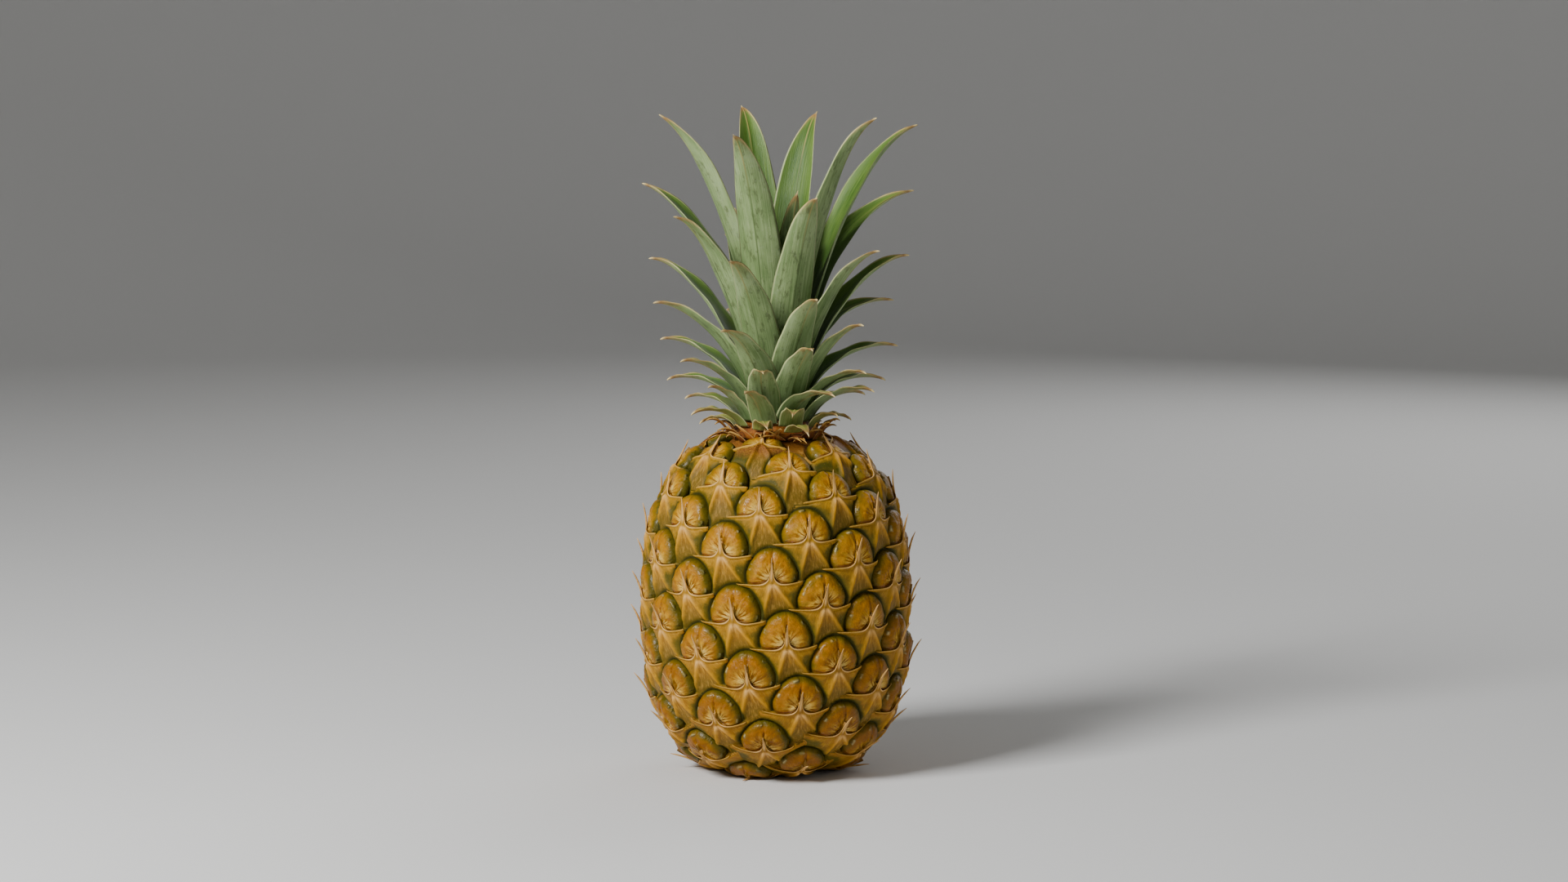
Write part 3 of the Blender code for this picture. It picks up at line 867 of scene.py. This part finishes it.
def blade_tree():
    """A blade along a curve: two faces that meet at the margins, the foot and the tip."""
    kinds = {
        "Foot": "Vector", "First Handle": "Vector", "Second Handle": "Vector", "Tip": "Vector",
        "Azimuth": "Float", "Swing": "Float", "Width": "Float", "Foot Width": "Float",
        "Thickness": "Float", "Curl": "Float", "Seed": "Float", "Age": "Float",
        "Rows": "Int", "Columns": "Int", "Finish": "Material",
    }
    tree, given, identifiers = geometry_tree("blade", kinds)
    segment = tree.node(
        "GeometryNodeCurvePrimitiveBezierSegment",
        None,
        (48, given["Foot"], given["First Handle"], given["Second Handle"], given["Tip"]),
    )
    length = tree.node("GeometryNodeCurveLength", None, (segment,))
    sides = []
    for side in (-1.0, 1.0):
        sheet = tree.node("GeometryNodeMeshGrid", None, (1.0, 1.0, given["Rows"], given["Columns"]))
        if side < 0:
            sheet = tree.node("GeometryNodeFlipFaces", None, (sheet,))
        sides.append(stored(tree, sheet, "side", side))
    join = tree.node("GeometryNodeJoinGeometry")
    for side in reversed(sides):
        tree.tree.links.new(side.socket, join.socket.node.inputs[0])
    position = tree.node("GeometryNodeInputPosition")
    x, y = (tree.node("ShaderNodeSeparateXYZ", None, (position,), output=i) for i in (0, 1))
    along = 1.0 - (0.5 - x) ** 1.3
    across = y * 2.0
    side = named(tree, "side")
    inner = side * 0.5 + 0.5
    to_tip = (1.0 - along) * length
    near_foot = 1.0 - (along / 0.3).do("MINIMUM", 1.0)
    broad = given["Width"] * (1.0 - (1.0 - given["Foot Width"]) * near_foot)
    width = broad * (1.0 - (-(to_tip / (given["Width"] * TIP_TAPER))).do("EXPONENT"))
    width = width * (1.0 - 0.72 * (-((to_tip / SPINE_LENGTH) ** 2.0)).do("EXPONENT"))
    reading = {"Curves": segment, "Factor": along}
    sample = tree.node("GeometryNodeSampleCurve", {"mode": "FACTOR"}, reading, output="Position")
    tangent = Wire(tree, sample.socket.node.outputs["Tangent"])
    reach, level = (tree.node("ShaderNodeSeparateXYZ", None, (sample,), output=i) for i in (0, 2))
    run, climb = (tree.node("ShaderNodeSeparateXYZ", None, (tangent,), output=i) for i in (0, 2))
    half = (width * 0.5).do("MINIMUM", reach * WRAP)
    arch = (1.0 - along) * half / reach + along * given["Curl"]
    bend = arch * across
    shift = half * bend.do("SINE") / arch
    keel = (-((across / 0.055) ** 2.0)).do("EXPONENT") * (0.00028 - inner * 0.0006) * along.fade(0.03, 0.2)
    ripple = (along * 21.0 + given["Seed"] * 50.0 + across * 1.4).do("SINE") * across * across * 0.00045
    ripple = ripple * along.fade(0.25, 0.6) * to_tip.fade(0.001, 0.012)
    thin = (to_tip / 0.0022).do("MINIMUM", 1.0) ** 0.5 * (along / 0.03).do("MINIMUM", 1.0)
    thick = given["Thickness"] * (1.0 - along * 0.5) * (1.0 - across * across) * thin * side * 0.5
    depth = half * (1.0 - bend.do("COSINE")) / arch + thick - keel * thin + ripple
    out = reach - depth * climb
    up = level + depth * run
    turn = given["Azimuth"] + given["Swing"] * along
    sine, cosine = turn.do("SINE"), turn.do("COSINE")
    place = tree.node(
        "ShaderNodeCombineXYZ", None, (out * sine + shift * cosine, shift * sine - out * cosine, up)
    )
    sheet = join
    for name, value in (
        ("along", along), ("across", across), ("inner", inner), ("sideways", across * half * 1000.0),
        ("to_tip", to_tip * 1000.0), ("to_margin", (1.0 - abs(across)) * half * 1000.0),
        ("seed", given["Seed"]), ("age", given["Age"]),
    ):
        sheet = stored(tree, sheet, name, value)
    moved = tree.node("GeometryNodeSetPosition", None, {"Geometry": sheet, "Position": place})
    merged = tree.node("GeometryNodeMergeByDistance", None, {"Geometry": moved, "Distance": 2e-6})
    smooth = tree.node("GeometryNodeSetShadeSmooth", None, (merged,))
    finish_tree(tree, tree.node("GeometryNodeSetMaterial", None, {0: smooth, "Material": given["Finish"]}))
    return tree, identifiers


blade, blade_inputs = blade_tree()


def make_blade(name, azimuth, foot, tip, leans, handles, **settings):
    """One blade from its foot to its tip, (reach, level), with its first and last lean."""
    span = math.dist(foot, tip)
    first, second = (
        np.array(end) + sign * share * span * np.array((math.sin(lean), math.cos(lean)))
        for end, sign, share, lean in ((foot, 1, handles[0], leans[0]), (tip, -1, handles[1], leans[1]))
    )
    corners = dict(zip(("Foot", "First Handle", "Second Handle", "Tip"), (foot, first, second, tip)))
    settings = {label.replace("_", " "): value for label, value in settings.items()}
    settings.update({label: (float(c[0]), 0.0, float(c[1])) for label, c in corners.items()})
    seedling = mesh_object("seedling", np.zeros((1, 3)), [])
    made = grown(seedling, blade, blade_inputs, {"Azimuth": azimuth, **settings}, name)
    bpy.data.objects.remove(seedling)
    return made


SAGE = (0.315, 0.410, 0.180)
DEEP_SAGE = (0.125, 0.205, 0.062)
INNER_GREEN = (0.115, 0.195, 0.030)
INNER_DARK = (0.045, 0.110, 0.012)
LEAF_OLIVE = (0.195, 0.240, 0.036)
TIP_TAN = (0.330, 0.175, 0.060)
TIP_CREAM = (0.700, 0.560, 0.260)
MARGIN_PALE = (0.480, 0.540, 0.250)
SCUFF_OLIVE = (0.085, 0.115, 0.038)
BLOOM_GREEN = (0.30, 0.37, 0.22)
FOOT_SHADE_GREEN = (0.060, 0.125, 0.030)
INNER_EDGE = (0.19, 0.30, 0.07)
OLD_GOLD = (0.33, 0.32, 0.060)
KEEL_DARK = (0.07, 0.11, 0.03)
KEEL_GOLD = (0.42, 0.34, 0.11)
TIP_MARGIN = (0.66, 0.58, 0.26)
BRONZE = (0.23, 0.125, 0.035)
SPINE_STRAW = (0.48, 0.36, 0.11)


def leaf_finish():
    """Wax over green, streaked along its fibres; golden brown at the spine."""
    f = Finish("leaf_blade", Specular_IOR_Level=0.28)
    along, inner, seed, age = (f.reading(n) for n in ("along", "inner", "seed", "age"))
    sideways, to_tip, to_margin = (f.reading(n) for n in ("sideways", "to_tip", "to_margin"))
    fibres = f.noise(f.point(sideways * 1.5, to_tip * 0.035, seed * 70.0), 1.2, 4.0, 0.6)
    fine = f.noise(f.point(sideways * 4.5, to_tip * 0.06, seed * 30.0), 1.0, 3.0, 0.6)
    cloud = f.noise(f.point(sideways * 0.10, to_tip * 0.045, seed * 90.0), 1.0, 3.0, 0.55)
    scuffs = f.noise(f.point(sideways * 0.5, to_tip * 0.16, seed * 55.0), 1.0, 5.0, 0.7)
    cells = f.noise(f.point(sideways * 0.9, to_tip * 0.9, seed * 20.0), 1.0, 3.0, 0.6)
    outside = f.mix((fibres * 0.6 + cloud * 0.6 + fine * 0.25).fade(0.50, 0.95), DEEP_SAGE, SAGE)
    outside = f.mix(scuffs.fade(0.52, 0.66) * 0.75, outside, SCUFF_OLIVE)
    outside = f.mix((cells * 0.5 + cloud * 0.5).fade(0.52, 0.62) * 0.30, outside, BLOOM_GREEN)
    # Painted shade: the lower half of each upper leaf darkens towards its foot, where its neighbours overlap
    # it.
    outside = f.mix(along.fade(0.50, 0.08) * age.fade(0.0, 0.3) * 0.55, outside, FOOT_SHADE_GREEN)
    inside = f.mix((fibres * 0.7 + cloud * 0.5).fade(0.45, 0.80), INNER_DARK, INNER_GREEN)
    inside = f.mix(to_margin.fade(4.0, 0.5) * 0.35, inside, INNER_EDGE)
    colour = f.mix(inner, outside, inside)
    old = age.fade(0.26, 0.02)
    colour = f.mix(old * 0.85, colour, f.mix(fibres.fade(0.35, 0.7), LEAF_OLIVE, OLD_GOLD))
    keel = sideways.bump_at(0.0, 0.32) * along.fade(0.05, 0.25)
    colour = f.mix(keel * 0.75, colour, f.mix(to_tip.fade(40.0, 8.0), KEEL_DARK, KEEL_GOLD))
    pale = to_margin.fade(0.95, 0.25)
    colour = f.mix(pale * 0.85, colour, f.mix(to_tip.fade(30.0, 6.0), MARGIN_PALE, TIP_MARGIN))
    bronze = (to_tip + (cloud - 0.5) * 20.0).fade(26.0, 5.0) * (scuffs * 0.6 + fibres * 0.5).fade(0.45, 0.68)
    colour = f.mix(bronze * (1.0 - inner) * age.fade(0.95, 0.3) * 0.8, colour, BRONZE)
    golden = (to_tip + (fibres - 0.5) * 10.0).fade(17.0, 3.0) * to_margin.fade(2.2, 0.2)
    colour = f.mix(golden * 0.8, colour, f.mix(fine.fade(0.4, 0.6), TIP_TAN, SPINE_STRAW))
    dry = (to_tip + (fibres - 0.5) * 4.0).fade(7.0, 2.2)
    colour = f.mix(dry * 0.9, colour, TIP_TAN)
    colour = f.mix(to_tip.fade(3.6, 1.0) * 0.9, colour, TIP_CREAM)
    bumps = fibres * 0.8 + fine * 0.5 + scuffs * 0.3
    return f.put(
        Base_Color=colour,
        Roughness=0.50 + fibres * 0.18 - inner * 0.14,
        Normal=f.relief(bumps, 0.0005, 0.55),
    )


def at_place(place, values):
    """A leaf's own value, between those given for the places on either side of it."""
    return float(np.interp(place, PLACES, values))


leaf_skin = leaf_finish()
for place in range(LEAF_COUNT):
    share = place / (LEAF_COUNT - 1)
    swing, more_rise, more_reach = STRAYS.get(place, (0, 0, 0))
    foot = (
        STEM_RADIUS + (STEM_TIP_RADIUS - STEM_RADIUS) * share + LEAF_THICKNESS,
        NECK_LEVEL + COLLAR_HEIGHT + FOOT_CLEARANCE + (STEM_HEIGHT - COLLAR_HEIGHT) * share,
    )
    tip = (
        at_place(place, TIP_REACH) + more_reach * MM,
        NECK_LEVEL + at_place(place, TIP_LEVEL) + more_rise * MM,
    )
    leaf = make_blade(
        f"leaf_{place + 1:02d}",
        FIRST_LEAF_AZIMUTH + place * LEAF_TURN,
        foot,
        tip,
        (math.radians(at_place(place, FOOT_LEAN)), math.radians(at_place(place, TIP_LEAN))),
        (FOOT_HANDLE, TIP_HANDLE),
        Swing=math.radians(swing),
        Width=at_place(place, LEAF_WIDTH),
        Foot_Width=LEAF_FOOT_WIDTH,
        Thickness=LEAF_THICKNESS,
        Curl=LEAF_CURL,
        Seed=(place * SEED_STEP) % 1.0,
        Age=share,
        Rows=LEAF_ROWS,
        Columns=LEAF_COLUMNS,
        Finish=leaf_skin,
    )
    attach(leaf, "root")
    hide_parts(f"crown_leaf_{place + 1:02d}")

# ---------------------------------------------------------------- The neck
# Round the foot of the crown the last leaves are small dry scales, rust brown and gold, curled
# outwards and ragged at their tips. They grow from the stem's collar. The stem between them
# keeps its CAD shape, under a finish of the same dry fibre.
SCALE_COUNT = 36
SCALE_TURN = math.radians(137.508)
SCALE_FOOT_REACH = 0.0195
SCALE_TIP_REACH = 0.0245
SCALE_MORE_REACH = 0.0085  # how much further the longest scale reaches
SCALE_WIDTH = 0.0135
SCALE_NARROWING = 0.009  # how much narrower the longest scale is
SCALE_FOOT_WIDTH = 0.9
SCALE_THICKNESS = 0.0006
SCALE_CURL = 1.5
SCALE_ROWS = 18
SCALE_COLUMNS = 9
DRY_ORANGE = (0.26, 0.080, 0.005)
DRY_GOLD = (0.44, 0.19, 0.018)
DRY_TIP = (0.58, 0.33, 0.06)
DRY_MARGIN = (0.66, 0.42, 0.12)


def dry_finish(name, scale_places=True):
    """Dry plant fibre: rust to gold along its strands."""
    f = Finish(name, Specular_IOR_Level=0.3)
    at = f.place((1, 1, 0.25))
    strands = f.noise(at, 900.0, 4.0, 0.65)
    blotch = f.noise(f.place(), 160.0, 3.0, 0.6)
    colour = f.mix(blotch.fade(0.35, 0.65), RUST_AND_SHADE_BROWN, DRY_ORANGE)
    colour = f.mix(strands.fade(0.45, 0.75) * 0.45, colour, DRY_GOLD)
    if scale_places:
        to_tip, to_margin = f.reading("to_tip"), f.reading("to_margin")
        colour = f.mix(to_tip.fade(6.0, 1.0) * 0.55, colour, DRY_TIP)
        colour = f.mix(to_margin.fade(0.7, 0.1) * 0.5, colour, DRY_MARGIN)
    return f.put(
        Base_Color=colour,
        Roughness=0.55 + strands * 0.25,
        Normal=f.relief(strands, 0.0005, 0.9),
    )


dry = dry_finish("dry_scale")
scale_dice = np.random.default_rng(7)
scales = []
for i in range(SCALE_COUNT):
    azimuth = i * SCALE_TURN
    to_the_side = abs(math.sin(azimuth)) ** 2
    long = scale_dice.random() * (0.4 + 0.6 * to_the_side)
    foot = (
        SCALE_FOOT_REACH + 0.002 * scale_dice.random(),
        NECK_LEVEL - 0.0012 + 0.003 * scale_dice.random(),
    )
    tip = (SCALE_TIP_REACH + SCALE_MORE_REACH * long, NECK_LEVEL - 0.001 + 0.009 * scale_dice.random())
    leans = (
        math.radians(20 + 20 * scale_dice.random()),
        math.radians(110 + 60 * scale_dice.random()),
    )
    scale = make_blade(
        f"scale_{i}",
        azimuth,
        foot,
        tip,
        leans,
        (0.5, 0.35),
        Swing=math.radians(scale_dice.uniform(-20, 20)),
        Width=SCALE_WIDTH - SCALE_NARROWING * long,
        Foot_Width=SCALE_FOOT_WIDTH,
        Thickness=SCALE_THICKNESS,
        Curl=SCALE_CURL,
        Seed=float(scale_dice.random()),
        Age=0.0,
        Rows=SCALE_ROWS,
        Columns=SCALE_COLUMNS,
        Finish=dry,
    )
    scales.append(scale)
with bpy.context.temp_override(active_object=scales[0], selected_editable_objects=scales):
    bpy.ops.object.join()
neck = scales[0]
neck.name = "neck_scales"
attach(neck, "root")
use(bpy.data.objects["crown_stem"], dry_finish("stem_fibre", False))

# ---------------------------------------------------------------- The cut stalk
# The woody end of the stalk that the fruit grew on, sawn off level with the underside. It is
# solid pith and fibre in a thin brown skin, and it is grown into the socket under the fruit.
# Its shape is the CAD node's own, under this finish.
PITH_SHADE = (0.42, 0.29, 0.13)
PITH_PALE = (0.62, 0.48, 0.26)
STRAND_BROWN = (0.17, 0.09, 0.03)


def cut_wood():
    """Pale pith with darker strand ends, and a brown skin round it."""
    f = Finish("cut_wood", Specular_IOR_Level=0.3)
    at = f.place()
    apart = [f.node("ShaderNodeSeparateXYZ", None, (at,), output=i) for i in (0, 1)]
    reach = (apart[0] * apart[0] + apart[1] * apart[1]) ** 0.5
    strands = f.noise(at, 1300.0, 2.0, 0.5)
    blotch = f.noise(at, 220.0, 3.0, 0.6)
    colour = f.mix(blotch.fade(0.3, 0.7), PITH_SHADE, PITH_PALE)
    colour = f.mix(strands.fade(0.58, 0.68) * 0.7, colour, STRAND_BROWN)
    colour = f.mix(reach.fade(0.0085, 0.0104), colour, RUST_AND_SHADE_BROWN)
    return f.put(
        Base_Color=colour,
        Roughness=0.7 + strands * 0.2,
        Normal=f.relief(strands, 0.0006, 0.8),
    )


use(bpy.data.objects["cut_stalk"], cut_wood())

# ---------------------------------------------------------------- The stage
# A plain pale floor that curves up into a wall all round. The main light is a soft one at the
# upper left; two weaker ones fill the right side and the back.
FLOOR_RADIUS = 2.4
COVE_RADIUS = 1.3
WALL_TOP = 2.8
STAGE_SPOKES = 96
PAPER_WHITE = (0.72, 0.72, 0.71)
ROOM_LIGHT = (1.0, 0.98, 0.95)
ROOM_STRENGTH = 0.10
turns = np.linspace(0, math.pi / 2, 13)
outline = [(FLOOR_RADIUS + COVE_RADIUS * math.sin(t), COVE_RADIUS * (1 - math.cos(t))) for t in turns]
outline.append((FLOOR_RADIUS + COVE_RADIUS, WALL_TOP))
around = np.arange(STAGE_SPOKES) * 2 * math.pi / STAGE_SPOKES
stage_points = np.concatenate(
    [on_barrel(around, radius, np.full(STAGE_SPOKES, level)) for radius, level in outline]
)
stage_faces = [tuple(range(STAGE_SPOKES)), *ring_faces(len(outline), STAGE_SPOKES)]
floor = mesh_object("floor", stage_points, stage_faces)
paper = Finish("pale_floor", Roughness=0.9)
paper.shader.inputs["Base Color"].default_value = (*PAPER_WHITE, 1)
use(floor, paper.material)

LIGHT_AIM = Vector((0, 0, 0.15))
CAMERA_AIM = Vector((0.0038, 0.0, 0.1534))
CAMERA_DISTANCE = 1.72
CAMERA_ELEVATION = math.radians(6)
camera_data = bpy.data.cameras.new("camera")
camera_data.lens = 85
camera_data.sensor_width = 36
camera = bpy.data.objects.new("camera", camera_data)
bpy.context.scene.collection.objects.link(camera)
towards = Vector((0, -math.cos(CAMERA_ELEVATION), math.sin(CAMERA_ELEVATION)))
camera.location = CAMERA_AIM + towards * CAMERA_DISTANCE
camera.rotation_euler = towards.to_track_quat("Z", "Y").to_euler()
bpy.context.scene.camera = camera


def soft_light(name, place, width, watts):
    """A square lamp turned to the middle of the fruit and crown."""
    data = bpy.data.lights.new(name, "AREA")
    data.size, data.energy = width, watts
    lamp = bpy.data.objects.new(name, data)
    bpy.context.scene.collection.objects.link(lamp)
    lamp.location = place
    lamp.rotation_euler = (Vector(place) - LIGHT_AIM).to_track_quat("Z", "Y").to_euler()


soft_light("key_light", (-0.90, -0.85, 1.05), 0.5, 36)
soft_light("back_light", (0.9, 1.5, 1.0), 1.2, 9)
soft_light("fill_light", (1.3, -1.2, 0.7), 1.4, 2.5)
room = bpy.data.worlds.new("room")
bpy.context.scene.world = room
room.use_nodes = True
room.node_tree.nodes["Background"].inputs[0].default_value = (*ROOM_LIGHT, 1)
room.node_tree.nodes["Background"].inputs[1].default_value = ROOM_STRENGTH
